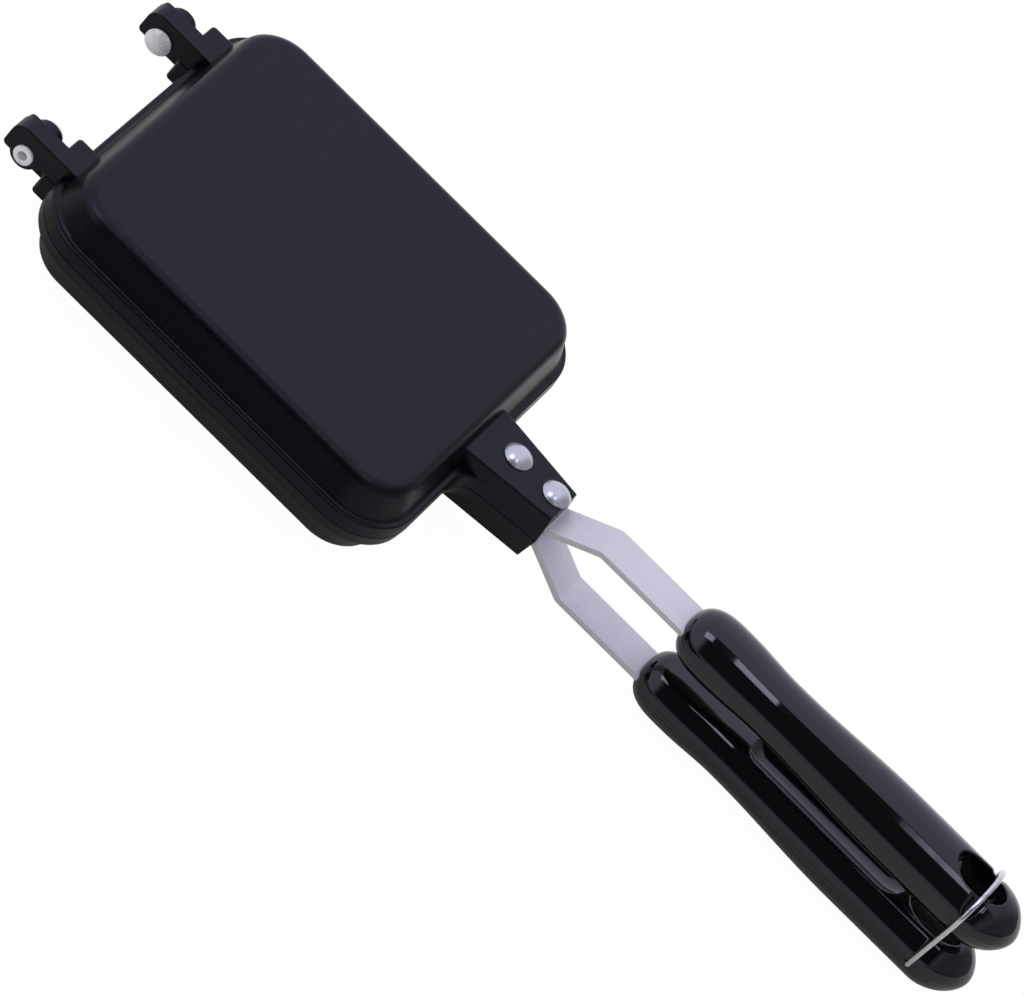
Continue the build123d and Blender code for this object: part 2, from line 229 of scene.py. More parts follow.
def makeSteel(look):
    material, tree, shader, coords = startMaterial("strapSteel")
    cloud = noise(tree, coords, look["cloudScale"])
    lines = noise(tree, stretched(tree, coords, look["lineScale"]), 1, detail=3)
    cells = put(tree, "ShaderNodeTexVoronoi", {"Vector": coords, "Scale": look["pitScale"]})
    pick = put(tree, "ShaderNodeSeparateColor", {"Color": cells.outputs["Color"]}).outputs["Green"]
    inPit = ramp(tree, cells.outputs["Distance"], *look["pitReach"], 1, 0)
    pit = sums(tree, "MULTIPLY", ramp(tree, pick, 1 - look["pitShare"], 1 - look["pitShare"] / 2), inPit)
    across = sums(tree, "ABSOLUTE", axesOf(tree, coords)["Y"])
    colour = mixColour(tree, ramp(tree, cloud, *look["stainFrom"]), look["base"], look["stain"])
    colour = mixColour(tree, pit, colour, look["pit"])
    feed(tree, shader, {
        # the strap's edges darkened with painted shade
        "Base Color": mixColour(tree, ramp(tree, across, *look["edgeShadeFrom"]), colour, look["edge"]),
        "Metallic": look["metallic"],
        "Roughness": ramp(tree, lines, *noiseSpan, *look["roughness"]),
        "Normal": bump(tree, sums(tree, "SUBTRACT", lines, pit), look["lineDepth"]),
    })
    return material


# Rivets, pins and wire: bright metal, lightly turned or drawn
brightLook = {
    "rivetAluminium": {"base": (0.60, 0.60, 0.66, 1), "dull": (0.50, 0.50, 0.55, 1), "metallic": 0.8,
                       "roughness": (0.24, 0.30)},
    "pinAluminium": {"base": (0.78, 0.78, 0.82, 1), "dull": (0.62, 0.62, 0.66, 1), "metallic": 0.35,
                     "roughness": (0.24, 0.30)},
    "bailWire": {"base": (0.72, 0.71, 0.72, 1), "dull": (0.35, 0.34, 0.34, 1), "metallic": 1.0,
                 "roughness": (0.12, 0.22)},
}
brightGrain = {"cloudScale": 420, "dullFrom": (0.55, 0.8), "fineScale": 2600, "fineDepth": 0.0000015}


def makeBright(name, look, grain):
    material, tree, shader, coords = startMaterial(name)
    cloud = noise(tree, coords, grain["cloudScale"])
    fine = noise(tree, coords, grain["fineScale"], detail=2)
    feed(tree, shader, {
        "Base Color": mixColour(tree, ramp(tree, cloud, *grain["dullFrom"]), look["base"], look["dull"]),
        "Metallic": look["metallic"],
        "Roughness": ramp(tree, fine, *noiseSpan, *look["roughness"]),
        "Normal": bump(tree, fine, grain["fineDepth"]),
    })
    return material


# Geometry Nodes helpers
meshDetail = {"bendSteps": 14, "edgeSteps": 4, "turnSteps": 56, "domeSteps": 12, "wireSides": 24}
creaseAngles = {"strap": math.radians(40), "turned": math.radians(34), "wire": math.radians(50)}
mergeGap = 0.002 * mm


def startTree(name, sizes):
    # a geometry tree with a material input and one named input for each size; returns both
    tree = bpy.data.node_groups.new(name, "GeometryNodeTree")
    tree.interface.new_socket("Geometry", in_out="OUTPUT", socket_type="NodeSocketGeometry")
    tree.interface.new_socket("finish", in_out="INPUT", socket_type="NodeSocketMaterial")
    for label in sizes:
        tree.interface.new_socket(label, in_out="INPUT", socket_type="NodeSocketFloat")
    return tree, {socket.name: socket for socket in tree.nodes.new("NodeGroupInput").outputs}


def endTree(tree, geometry, inputs, creaseAngle):
    # sharp where faces meet steeply, made real, painted and sent to the output
    angle = put(tree, "GeometryNodeInputMeshEdgeAngle").outputs["Unsigned Angle"]
    crease = put(tree, "FunctionNodeCompare", {0: angle, 1: creaseAngle}, operation="GREATER_THAN")
    smooth = put(tree, "GeometryNodeSetShadeSmooth", {
        "Geometry": geometry, "Shade Smooth": True,
    }, domain="FACE")
    sharp = put(tree, "GeometryNodeSetShadeSmooth", {
        "Geometry": smooth.outputs[0], "Selection": crease.outputs[0], "Shade Smooth": False,
    }, domain="EDGE")
    real = put(tree, "GeometryNodeRealizeInstances", {"Geometry": sharp.outputs[0]})
    painted = put(tree, "GeometryNodeSetMaterial", {
        "Geometry": real.outputs[0], "Material": inputs["finish"],
    })
    put(tree, "NodeGroupOutput", {"Geometry": painted.outputs[0]})
    return tree


def grow(tree, name, finish, sizes, body, slot, *replaced):
    # runs the tree on an empty object with these sizes and keeps the result as a plain mesh that rides
    piece = bpy.data.objects.new(name, bpy.data.meshes.new(name))
    bpy.context.scene.collection.objects.link(piece)
    modifier = piece.modifiers.new("shape", "NODES")
    modifier.node_group = tree
    for socket in tree.interface.items_tree:
        if socket.in_out == "INPUT":
            modifier[socket.identifier] = finish if socket.name == "finish" else float(sizes[socket.name])
    bpy.context.view_layer.update()
    depsgraph = bpy.context.evaluated_depsgraph_get()
    mesh = bpy.data.meshes.new_from_object(piece.evaluated_get(depsgraph), depsgraph=depsgraph)
    piece.modifiers.remove(modifier)
    piece.data = mesh
    return settle(piece, body, slot, *replaced)


def settle(piece, body, slot, *replaced):
    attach(piece, body)
    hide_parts(*replaced)
    print(piece.name, len(piece.data.polygons), "faces")
    return piece


def picked(tree, items, dataType, index=None):
    # the item whose place in the list is the index, or the point's own index where none is given
    node = put(tree, "GeometryNodeIndexSwitch", data_type=dataType)
    while len(node.index_switch_items) < len(items):
        node.index_switch_items.new()
    if index is None:
        index = put(tree, "GeometryNodeInputIndex").outputs[0]
    feed(tree, node, {"Index": index})
    return feed(tree, node, {str(place): item for place, item in enumerate(items)}).outputs[0]


def point(tree, x, y, z):
    return put(tree, "ShaderNodeCombineXYZ", {0: x, 1: y, 2: z}).outputs[0]


def bentPath(tree, points, radii):
    # straight runs through the points, with one radius for all corners or a list with one for each point
    line = put(tree, "GeometryNodeMeshLine", {"Count": len(points)}, mode="OFFSET").outputs[0]
    placed = put(tree, "GeometryNodeSetPosition", {
        "Geometry": line, "Position": picked(tree, points, "VECTOR"),
    })
    curve = put(tree, "GeometryNodeMeshToCurve", {"Mesh": placed.outputs[0]}).outputs[0]
    radius = picked(tree, radii, "FLOAT") if isinstance(radii, list) else radii
    return put(tree, "GeometryNodeFilletCurve", {
        "Curve": curve, "Radius": radius, "Count": meshDetail["bendSteps"],
    }, mode="POLY").outputs[0]


# Straps: flat in the neck, cranked outward, flat again as the tang inside the grip
strapSizes = {
    "width": 13.4 * mm, "thickness": 2.0 * mm, "edgeRadius": 0.32 * mm, "bendRadius": 4.0 * mm,
    "start": 73.2 * mm, "bend": 98.9 * mm, "rise": 9.05 * mm, "slope": math.radians(29.3),
    "end": 234.1 * mm, "low": 3.2 * mm,
}


def makeStrapTree():
    tree, size = startTree("strap", list(strapSizes) + ["side"])
    high = sums(tree, "ADD", size["low"], size["rise"])
    run = sums(tree, "DIVIDE", size["rise"], sums(tree, "TANGENT", size["slope"]))
    top = sums(tree, "ADD", size["bend"], run)
    low, high = (sums(tree, "MULTIPLY_ADD", z, size["side"], partingZ) for z in (size["low"], high))
    route = [(size["start"], low), (size["bend"], low), (top, high), (size["end"], high)]
    path = bentPath(tree, [point(tree, x, 0.0, z) for x, z in route], size["bendRadius"])
    upright = put(tree, "GeometryNodeSetCurveNormal", {"Curve": path}, mode="Z_UP").outputs[0]
    box = put(tree, "GeometryNodeCurvePrimitiveQuadrilateral", {
        "Width": size["width"], "Height": size["thickness"],
    })
    section = put(tree, "GeometryNodeFilletCurve", {
        "Curve": box.outputs[0], "Radius": size["edgeRadius"], "Count": meshDetail["edgeSteps"],
    }, mode="POLY")
    mesh = put(tree, "GeometryNodeCurveToMesh", {
        "Curve": upright, "Profile Curve": section.outputs[0], "Fill Caps": True,
    })
    return endTree(tree, mesh.outputs[0], size, creaseAngles["strap"])


# Turned pieces: a profile of radius and height, turned round an axis
def lathe(tree, profile):
    # profile is a list of (radius, height) pairs from one end of the axis to the other
    steps = meshDetail["turnSteps"]
    grid = put(tree, "GeometryNodeMeshGrid", {"Vertices X": len(profile), "Vertices Y": steps + 1}).outputs[0]
    index = put(tree, "GeometryNodeInputIndex").outputs[0]
    row = sums(tree, "FLOOR", sums(tree, "DIVIDE", sums(tree, "ADD", index, 0.5), steps + 1.0))
    step = sums(tree, "SUBTRACT", index, sums(tree, "MULTIPLY", row, steps + 1.0))
    turn = sums(tree, "MULTIPLY", step, 2 * math.pi / steps)
    radius, height = (picked(tree, items, "FLOAT", row) for items in zip(*profile))
    ring = point(tree, sums(tree, "MULTIPLY", radius, sums(tree, "COSINE", turn)),
                 sums(tree, "MULTIPLY", radius, sums(tree, "SINE", turn)), height)
    turned = put(tree, "GeometryNodeSetPosition", {"Geometry": grid, "Position": ring}).outputs[0]
    return put(tree, "GeometryNodeMergeByDistance", {"Geometry": turned, "Distance": mergeGap}).outputs[0]


def domeProfile(tree, radius, height, edge):
    # points of a spherical cap of this radius whose rim stands at the edge height
    steps = meshDetail["domeSteps"]
    rise = sums(tree, "SUBTRACT", height, edge)
    square = sums(tree, "ADD", sums(tree, "MULTIPLY", radius, radius), sums(tree, "MULTIPLY", rise, rise))
    sphere = sums(tree, "DIVIDE", square, sums(tree, "MULTIPLY", rise, 2.0))
    full = sums(tree, "ARCSINE", sums(tree, "DIVIDE", radius, sphere))
    rows = [(0.0, height)]
    for step in range(1, steps + 1):
        turn = sums(tree, "MULTIPLY", full, step / steps)
        drop = sums(tree, "MULTIPLY", sphere, sums(tree, "SUBTRACT", 1.0, sums(tree, "COSINE", turn)))
        out = sums(tree, "MULTIPLY", sphere, sums(tree, "SINE", turn))
        rows.append((out, sums(tree, "SUBTRACT", height, drop)))
    return rows


# Strap rivets: domed head on the neck, shank, and a clenched tail under the strap, two to a half
rivetSizes = {
    "headRadius": 4.75 * mm, "headHeight": 2.5 * mm, "headEdge": 0.4 * mm, "shankRadius": 2.5 * mm,
    "tailRadius": 3.8 * mm, "tailHeight": 1.3 * mm, "seat": 9.8 * mm, "under": 2.2 * mm,
    "undercut": 0.12 * mm, "first": 78.2 * mm, "pitch": 15.4 * mm, "offset": 1.2 * mm,
}


def makeRivetTree():
    tree, size = startTree("rivets", list(rivetSizes) + ["side"])
    tailBulge = 0.35        # how far the tail has drawn in at half its height, as a share of that half
    grip = sums(tree, "SUBTRACT", size["under"], size["seat"])
    halfTail = sums(tree, "MULTIPLY", size["tailHeight"], 0.5)
    tailEnd = sums(tree, "SUBTRACT", grip, size["tailHeight"])
    profile = domeProfile(tree, size["headRadius"], size["headHeight"], size["headEdge"]) + [
        (size["headRadius"], size["undercut"]),
        (sums(tree, "SUBTRACT", size["headRadius"], size["undercut"]), 0.0),
        (size["shankRadius"], 0.0),
        (size["shankRadius"], grip),
        (size["tailRadius"], grip),
        (sums(tree, "SUBTRACT", size["tailRadius"], sums(tree, "MULTIPLY", halfTail, tailBulge)),
         sums(tree, "SUBTRACT", grip, halfTail)),
        (sums(tree, "SUBTRACT", size["tailRadius"], halfTail), tailEnd),
        (0.0, tailEnd),
    ]
    row = put(tree, "GeometryNodeMeshLine", {
        "Count": 2, "Start Location": point(tree, size["first"], size["offset"], size["seat"]),
        "Offset": point(tree, size["pitch"], 0.0, 0.0),
    }, mode="OFFSET").outputs[0]
    pair = put(tree, "GeometryNodeInstanceOnPoints", {"Points": row, "Instance": lathe(tree, profile)})
    flip = sums(tree, "MULTIPLY", sums(tree, "SUBTRACT", 1.0, size["side"]), math.pi / 2)
    placed = put(tree, "GeometryNodeTransform", {
        "Geometry": put(tree, "GeometryNodeRealizeInstances", {"Geometry": pair.outputs[0]}).outputs[0],
        "Translation": (0, 0, partingZ), "Rotation": point(tree, flip, 0.0, 0.0),
    })
    return endTree(tree, placed.outputs[0], size, creaseAngles["turned"])


# Hinge pins: domed head towards the middle of the pan, hollow clenched end on the outside
pinSizes = {
    "headRadius": 4.45 * mm, "headHeight": 2.3 * mm, "headEdge": 0.6 * mm, "shankRadius": 2.4 * mm,
    "flangeRadius": 3.25 * mm, "flangeThickness": 0.9 * mm, "boreRadius": 1.5 * mm, "boreDepth": 3.0 * mm,
    "shoulder": 6.75 * mm, "undercut": 0.15 * mm, "spread": 37.5 * mm,
}


def makePinTree():
    tree, size = startTree("hingePins", list(pinSizes) + ["axisX"])
    # shares of the lip, for its rounding and for the bore's edge
    lipIn, lipOut, boreBevel = 0.3, 0.7, 0.4
    back = sums(tree, "MULTIPLY", size["shoulder"], -1.0)
    tail = sums(tree, "SUBTRACT", back, size["flangeThickness"])
    lip = sums(tree, "MULTIPLY", size["flangeThickness"], 0.5)
    lipStart = sums(tree, "SUBTRACT", back, lip)
    boreEnd = sums(tree, "ADD", tail, size["boreDepth"])
    crown, rim = (sums(tree, "ADD", size[key], size["shoulder"]) for key in ("headHeight", "headEdge"))
    profile = domeProfile(tree, size["headRadius"], crown, rim) + [
        (size["headRadius"], sums(tree, "ADD", size["shoulder"], size["undercut"])),
        (sums(tree, "SUBTRACT", size["headRadius"], size["undercut"]), size["shoulder"]),
        (size["shankRadius"], size["shoulder"]),
        (size["shankRadius"], back),
        (size["flangeRadius"], back),
        (size["flangeRadius"], lipStart),
        (sums(tree, "SUBTRACT", size["flangeRadius"], sums(tree, "MULTIPLY", lip, lipIn)),
         sums(tree, "MULTIPLY_ADD", lip, -lipOut, lipStart)),
        (sums(tree, "SUBTRACT", size["flangeRadius"], lip), tail),
        (sums(tree, "ADD", size["boreRadius"], sums(tree, "MULTIPLY", lip, boreBevel)), tail),
        (size["boreRadius"], sums(tree, "MULTIPLY_ADD", lip, boreBevel, tail)),
        (size["boreRadius"], boreEnd),
        (0.0, boreEnd),
    ]
    spreads = [sums(tree, "MULTIPLY", size["spread"], side) for side in (-1.0, 1.0)]
    row = put(tree, "GeometryNodeSetPosition", {
        "Geometry": put(tree, "GeometryNodeMeshLine", {"Count": 2}, mode="OFFSET").outputs[0],
        "Position": picked(tree, [point(tree, size["axisX"], y, partingZ) for y in spreads], "VECTOR"),
    })
    turns = [point(tree, angle, 0.0, 0.0) for angle in (-math.pi / 2, math.pi / 2)]
    pair = put(tree, "GeometryNodeInstanceOnPoints", {
        "Points": row.outputs[0], "Instance": lathe(tree, profile), "Rotation": picked(tree, turns, "VECTOR"),
    })
    return endTree(tree, pair.outputs[0], size, creaseAngles["turned"])


# Latch bail: one bent wire, its feet turned into the lower grip, its plane leaning towards +X.
# Millimetres in its own plane: u across, v up from the pivot. Its legs turn by cornerTurn into a long
# arched crown.
latchSizes = {
    "wireRadius": 0.85, "legU": 13.25, "footU": 8.25, "footBend": 1.15, "height": 34.3,
    "cornerBend": 9.0, "cornerTurn": math.radians(50), "lean": math.radians(1.9),
}


def crownOf(latch):
    # radius of the crown that meets both corners
    return latch["cornerBend"] + (latch["legU"] - latch["cornerBend"]) / math.cos(latch["cornerTurn"])


def bailInputs(latch):
    # the tree's own inputs, in metres: the corners of the straight runs that the bends then round
    crown, slope = crownOf(latch), math.pi / 2 - latch["cornerTurn"]
    centreV = latch["height"] - crown
    lengths = {key: latch[key] for key in ("wireRadius", "legU", "footU", "footBend", "cornerBend")}
    lengths["apexV"] = centreV + crown / math.cos(slope)
    lengths["cornerV"] = centreV + (crown - latch["legU"] * math.sin(slope)) / math.cos(slope)
    lengths["crownBend"] = crown
    pivot = jointPlace["bail_swivel"]
    return {**{key: value * mm for key, value in lengths.items()},
            "lean": latch["lean"], "pivotX": pivot.x, "pivotZ": pivot.z}


def makeBailTree(inputs):
    tree, size = startTree("bail", inputs)
    minusLeg, minusFoot = (sums(tree, "MULTIPLY", size[key], -1.0) for key in ("legU", "footU"))
    route = [
        (minusFoot, 0.0), (minusLeg, 0.0), (minusLeg, size["cornerV"]), (0.0, size["apexV"]),
        (size["legU"], size["cornerV"]), (size["legU"], 0.0), (size["footU"], 0.0),
    ]
    foot, corner = [size["footBend"]] * 2, [size["cornerBend"]]
    bends = foot + corner + [size["crownBend"]] + corner + foot
    path = bentPath(tree, [point(tree, 0.0, u, v) for u, v in route], bends)
    ring = put(tree, "GeometryNodeCurvePrimitiveCircle", {
        "Resolution": meshDetail["wireSides"], "Radius": size["wireRadius"],
    })
    mesh = put(tree, "GeometryNodeCurveToMesh", {
        "Curve": path, "Profile Curve": ring.outputs[0], "Fill Caps": True,
    })
    placed = put(tree, "GeometryNodeTransform", {
        "Geometry": mesh.outputs[0], "Translation": point(tree, size["pivotX"], 0.0, size["pivotZ"]),
        "Rotation": point(tree, 0.0, size["lean"], 0.0),
    })
    return endTree(tree, placed.outputs[0], size, creaseAngles["wire"])


# Grips: gloss mouldings worked out as a smooth field, so that every rim and end is softly rounded.
# Millimetres, local to the upper half: x as in the frame, z from the parting plane. Pairs of sizes are
# at the nose end and at the tail end, or along X and along Y. Nose and tail are a length and a power.
gripSizes = {
    "noseX": 146.1, "length": 131.3, "midHeight": 11.8, "flatness": 1.75,
    "bulb": (16.0, 11.3), "waist": (36.0, 10.4), "back": (84.0, 12.1),    # distance from the nose, half width
    "nose": (14.1, 2.8), "tail": (14.0, 1.8),
    "inner": (4.2, 2.6), "innerRim": 0.7,
    "holeX": 257.8, "holeHalf": (9.45, 6.3), "holeOuter": 22.0, "holeDraft": 0.085, "holeRim": 0.8,
    "holeDish": (10.2, 6.4), "holeDishDepth": 1.7,
    "recess": (184.6, 245.2), "recessHalf": (6.0, 7.6), "recessCorner": (4.2, 7.6), "recessDepth": 2.5,
    "pocketHalf": (6.75, 1.05), "pocketHeight": 12.25, "pocketEnd": 234.15, "pocketRim": 0.3,
}
# What the latch asks of the grips: groove and swing relief in the upper, pivot holes in the lower
cutSizes = {
    "grooveDepth": 2.6, "grooveFlare": 1.6, "grooveBed": 1.1, "grooveRim": 0.4,
    "reliefInset": 1.1, "reliefTurn": math.radians(70), "reliefRim": 0.45,
    "pivotRadius": 0.95, "pivotFrom": 7.95, "pivotRim": 0.2,
}
# How the mesh is drawn onto the field: evened out by relax in each pass but the last ones, and pulled
# by no more than pullLimit at a time
gripFit = {
    "weld": 0.005, "voxel": 0.45, "passes": 7, "lastPasses": 3, "relax": 0.5,
    "pulls": 2, "pullLimit": 0.4, "leastSlope": 0.05, "probe": 0.02,
}


tiny = 1e-6        # keeps a division clear of zero


def softMax(first, second, blend):
    # the larger of two distances, with the crease between them rounded over about blend
    gap = np.maximum(blend - np.abs(first - second), 0) / blend
    return np.maximum(first, second) + gap * gap * blend / 4


def cosineStep(start, end, share):
    return start + (end - start) * (1 - np.cos(math.pi * np.clip(share, 0, 1))) / 2


def gripBody(size, x, y, z):
    # the outer form alone: oval sections whose width follows bulb, waist and back, closed at both ends
    along = x - size["noseX"]
    (bulbAt, bulb), (waistAt, waist), (backAt, back) = size["bulb"], size["waist"], size["back"]
    width = np.where(along > waistAt, cosineStep(waist, back, (along - waistAt) / (backAt - waistAt)),
                     cosineStep(bulb, waist, (along - bulbAt) / (waistAt - bulbAt)))
    rise = width - size["flatness"]
    share = np.sqrt((y / width) ** 2 + ((z - size["midHeight"]) / rise) ** 2)
    (noseLength, nosePower), (tailLength, tailPower) = size["nose"], size["tail"]
    atNose = np.maximum(1 - along / noseLength, 0)
    atTail = np.maximum(1 - (size["length"] - along) / tailLength, 0)
    share = np.where(atNose > 0, (share ** nosePower + atNose ** nosePower) ** (1 / nosePower),
                     (share ** tailPower + atTail ** tailPower) ** (1 / tailPower))
    return (share - 1) * rise


def ovalDistance(x, y, halfX, halfY):
    scaled = np.hypot(x / halfX, y / halfY)
    return scaled * (scaled - 1) / np.maximum(np.hypot(x / halfX ** 2, y / halfY ** 2), tiny)


def gripFace(size, x, y):
    # height of the inner face over the parting plane, with the dished recess and the dish round the hole
    atNose, atTail = size["inner"]
    face = atNose + (atTail - atNose) * (x - size["noseX"]) / size["length"]
    start, end = size["recess"]
    share = np.clip((x - start) / (end - start), 0, 1)
    half, corner = (size[key][0] + (size[key][1] - size[key][0]) * share
                    for key in ("recessHalf", "recessCorner"))
    outX = np.abs(x - (start + end) / 2) - (end - start) / 2 + corner
    outY = np.abs(y) - half + corner
    rim = np.hypot(np.maximum(outX, 0), np.maximum(outY, 0)) + np.minimum(np.maximum(outX, outY), 0) - corner
    recess = size["recessDepth"] * (1 - np.clip(1 + rim / half, 0, 1) ** 2)
    ring = np.hypot((x - size["holeX"]) / size["holeDish"][0], y / size["holeDish"][1])
    return face + recess + size["holeDishDepth"] * (1 - np.clip(ring, 0, 1) ** 2)


def gripField(size, cut, latch, half, pivotX, places):
    # distance to the grip's surface, below zero inside
    x, y, z = places
    body = gripBody(size, x, y, z)
    body = softMax(body, gripFace(size, x, y) - z, size["innerRim"])
    holeY = size["holeHalf"][1] - size["holeDraft"] * np.clip(size["holeOuter"] - z, 0, size["holeOuter"])
    hole = ovalDistance(x - size["holeX"], y, size["holeHalf"][0], holeY)
    body = softMax(body, -hole, size["holeRim"])
    pocket = np.maximum(np.abs(y) - size["pocketHalf"][0],
                        np.abs(z - size["pocketHeight"]) - size["pocketHalf"][1])
    body = softMax(body, -np.maximum(pocket, x - size["pocketEnd"]), size["pocketRim"])
    if half == "lower":
        pivot = np.hypot(x - pivotX, z - size["midHeight"]) - cut["pivotRadius"]
        return softMax(body, -np.maximum(pivot, cut["pivotFrom"] - np.abs(y)), cut["pivotRim"])
    # the latch's own plane: u across, v up from the pivot in the lower grip, n out of the plane
    sine, cosine = math.sin(latch["lean"]), math.cos(latch["lean"])
    fromPivot = z + size["midHeight"]
    u, v = np.abs(y), (x - pivotX) * sine + fromPivot * cosine
    n = (x - pivotX) * cosine - fromPivot * sine
    crown = crownOf(latch)
    centreV = latch["height"] - crown
    halfTurn = math.pi / 2 - latch["cornerTurn"]
    turn = np.arctan2(u, v - centreV)
    onArc = np.hypot(u, v - centreV) - crown
    offLine = u * math.sin(halfTurn) + (v - centreV) * math.cos(halfTurn) - crown
    over = np.where(turn < halfTurn, onArc, offLine) + cut["grooveDepth"]
    slant = (np.abs(n) - over * cut["grooveFlare"]) / math.hypot(1, cut["grooveFlare"])
    groove = softMax(slant, -over, cut["grooveBed"])
    body = softMax(body, -groove, cut["grooveRim"])
    reach = np.hypot(x - pivotX, fromPivot)
    swing = np.arctan2(x - pivotX, fromPivot) - latch["lean"]
    arch = np.hypot(u, reach - centreV) - (crown - cut["reliefInset"])
    swept = np.maximum(-swing, swing - cut["reliefTurn"]) * reach
    return softMax(body, -np.maximum(-arch, swept), cut["reliefRim"])


def makeGrip(size, cut, latch, fit, half, finish):
    # a remeshed copy of the CAD grip, its points moved to where the field is zero
    turned = halves[half]
    rough = bpy.data.objects.new(half + "_grip_shell", nodes[half + "_grip"].data.copy())
    bpy.context.scene.collection.objects.link(rough)
    weld = rough.modifiers.new("weld", "WELD")
    weld.merge_threshold = fit["weld"] * mm
    remesh = rough.modifiers.new("remesh", "REMESH")
    remesh.mode, remesh.voxel_size = "VOXEL", fit["voxel"] * mm
    depsgraph = bpy.context.evaluated_depsgraph_get()
    mesh = bpy.data.meshes.new_from_object(rough.evaluated_get(depsgraph), depsgraph=depsgraph)
    rough.modifiers.clear()
    rough.data = mesh
    flat = np.empty(len(mesh.vertices) * 3, np.float32)
    mesh.vertices.foreach_get("co", flat)
    places = flat.reshape(-1, 3).astype(float).T / mm
    places[2] -= partingZ / mm
    places[1:] *= turned
    pivotX = jointPlace["bail_swivel"].x / mm

    def field(points):
        return gripField(size, cut, latch, half, pivotX, points)

    def slope(points):
        sides = [np.array(axis)[:, None] * fit["probe"] for axis in ((1, 0, 0), (0, 1, 0), (0, 0, 1))]
        return np.array([field(points + side) - field(points - side) for side in sides]) / (2 * fit["probe"])

    edges = np.empty(len(mesh.edges) * 2, np.int32)
    mesh.edges.foreach_get("vertices", edges)
    first, second = edges.reshape(-1, 2).T
    count = np.bincount(edges, minlength=places.shape[1])
    for turn in range(fit["passes"]):
        if turn < fit["passes"] - fit["lastPasses"]:
            total = np.array([np.bincount(first, axis[second], len(count))
                              + np.bincount(second, axis[first], len(count)) for axis in places])
            places = places + fit["relax"] * (total / count - places)
        for _ in range(fit["pulls"]):
            gradient = slope(places)
            move = -field(places) * gradient / np.maximum((gradient ** 2).sum(0), fit["leastSlope"])
            places = places + np.clip(move, -fit["pullLimit"], fit["pullLimit"])
    normals = slope(places)
    normals /= np.maximum(np.sqrt((normals ** 2).sum(0)), tiny)
    places[1:] *= turned
    normals[1:] *= turned
    places[2] += partingZ / mm
    mesh.vertices.foreach_set("co", (places.T * mm).astype(np.float32).ravel())
    mesh.polygons.foreach_set("use_smooth", [True] * len(mesh.polygons))
    mesh.update()
    mesh.normals_split_custom_set_from_vertices(normals.T.tolist())
    mesh.materials.clear()
    mesh.materials.append(finish)
    return settle(rough, half + "_half", "grip_phenolic", half + "_grip")


# Floor and world. Reflections show a pale tinted room with a dark camera side, slim bright lamps high
# above it, and less light towards the grips' tails. A share or limit in pairs is where a change starts
# and ends, and a band has four limits: its two soft edges.
stageSetup = {
    "floorColour": (0.93, 0.93, 0.935, 1),
    "floorSize": 12.0,
    "floorGap": 0.0002,
    "floorRoughness": 0.9,
    "floorLift": 0.97,           # share of plain white that the camera sees in the floor
    "floorInGloss": (0.56, 0.95),        # how bright the floor looks in gloss, in front and behind; the darker front is painted shade
    "floorBehind": (-0.02, 0.08),        # Y over which the one turns into the other
    "cardGlow": 0.04,            # how bright the patch of painted shade on the floor before the pan looks in gloss
    "cardX": (0.075, 0.095),     # X and Y up to which the painted shade patch reaches
    "cardY": (-0.138, -0.108),
    "ambient": 0.85,
    "roomTint": (0.79, 0.79, 1.0, 1),    # colour of the room in the object's gloss
    "darkSide": 0.035,
    "darkAcross": (0.30, 0.50),  # how far a direction leans to either side as the dark side ends
    "darkFrom": (0.085, 0.125),  # height of a direction at which the dark side starts
    "darkBack": (0.015, 0.055),  # how far a direction leans to the camera side before it is dark
    "lampGlow": 4.2,
    "lampFrom": (0.7, 0.8),      # height of a direction at which the lamps start
    "lampLean": (0.06, 0.085, 0.345, 0.385),        # band towards the camera side, then two bands across
    "lampAcross": ((0.0495, 0.0565, 0.19, 0.21), (-0.56, -0.50, -0.24, -0.20)),
    "tailSide": (0.22, 0.60),    # how far a direction leans to +X as the room dims to tailShade
    "tailShade": 0.30,
}


def whenSeen(tree):
    # two sockets: 1 for rays from the camera, and 1 for rays that show the background in gloss or glass
    paths = put(tree, "ShaderNodeLightPath").outputs
    return paths["Is Camera Ray"], sums(tree, "MAXIMUM", paths["Is Glossy Ray"], paths["Is Transmission Ray"])


def makeFloor(setup):
    mesh = bpy.data.meshes.new("floor")
    half, z = setup["floorSize"] / 2, cadBox[0].z - setup["floorGap"]
    mesh.from_pydata([(-half, -half, z), (half, -half, z), (half, half, z), (-half, half, z)], [],
                     [(0, 1, 2, 3)])
    floor = bpy.data.objects.new("floor", mesh)
    bpy.context.scene.collection.objects.link(floor)
    material, tree, shader, coords = startMaterial("floorPaper")
    camera, gloss = whenSeen(tree)
    across = axesOf(tree, coords)
    # in gloss the floor is darker in front than behind: painted shade
    inGloss = ramp(tree, across["Y"], *setup["floorBehind"], *setup["floorInGloss"])
    # a patch of painted shade on the floor before the pan, seen only in gloss
    card = sums(tree, "MULTIPLY", *(ramp(tree, across[axis], *setup["card" + axis], 1, 0) for axis in "XY"))
    inGloss = mixNumber(tree, card, inGloss, setup["cardGlow"])
    feed(tree, shader, {
        "Base Color": mixColour(tree, gloss, setup["floorColour"], inGloss),
        "Roughness": setup["floorRoughness"],
        "Specular IOR Level": 0.0,
    })
    white = put(tree, "ShaderNodeEmission", {"Color": (1, 1, 1, 1), "Strength": 1.0})
    share = sums(tree, "MULTIPLY", camera, setup["floorLift"])
    mix = put(tree, "ShaderNodeMixShader", {0: share, 1: shader.outputs[0], 2: white.outputs[0]})
    feed(tree, tree.nodes["Material Output"], {"Surface": mix.outputs[0]})
    mesh.materials.append(material)


def between(tree, value, limits):
    # 1 inside a soft-edged band given by four limits
    rise = ramp(tree, value, limits[0], limits[1])
    return sums(tree, "MULTIPLY", rise, ramp(tree, value, limits[2], limits[3], 1, 0))


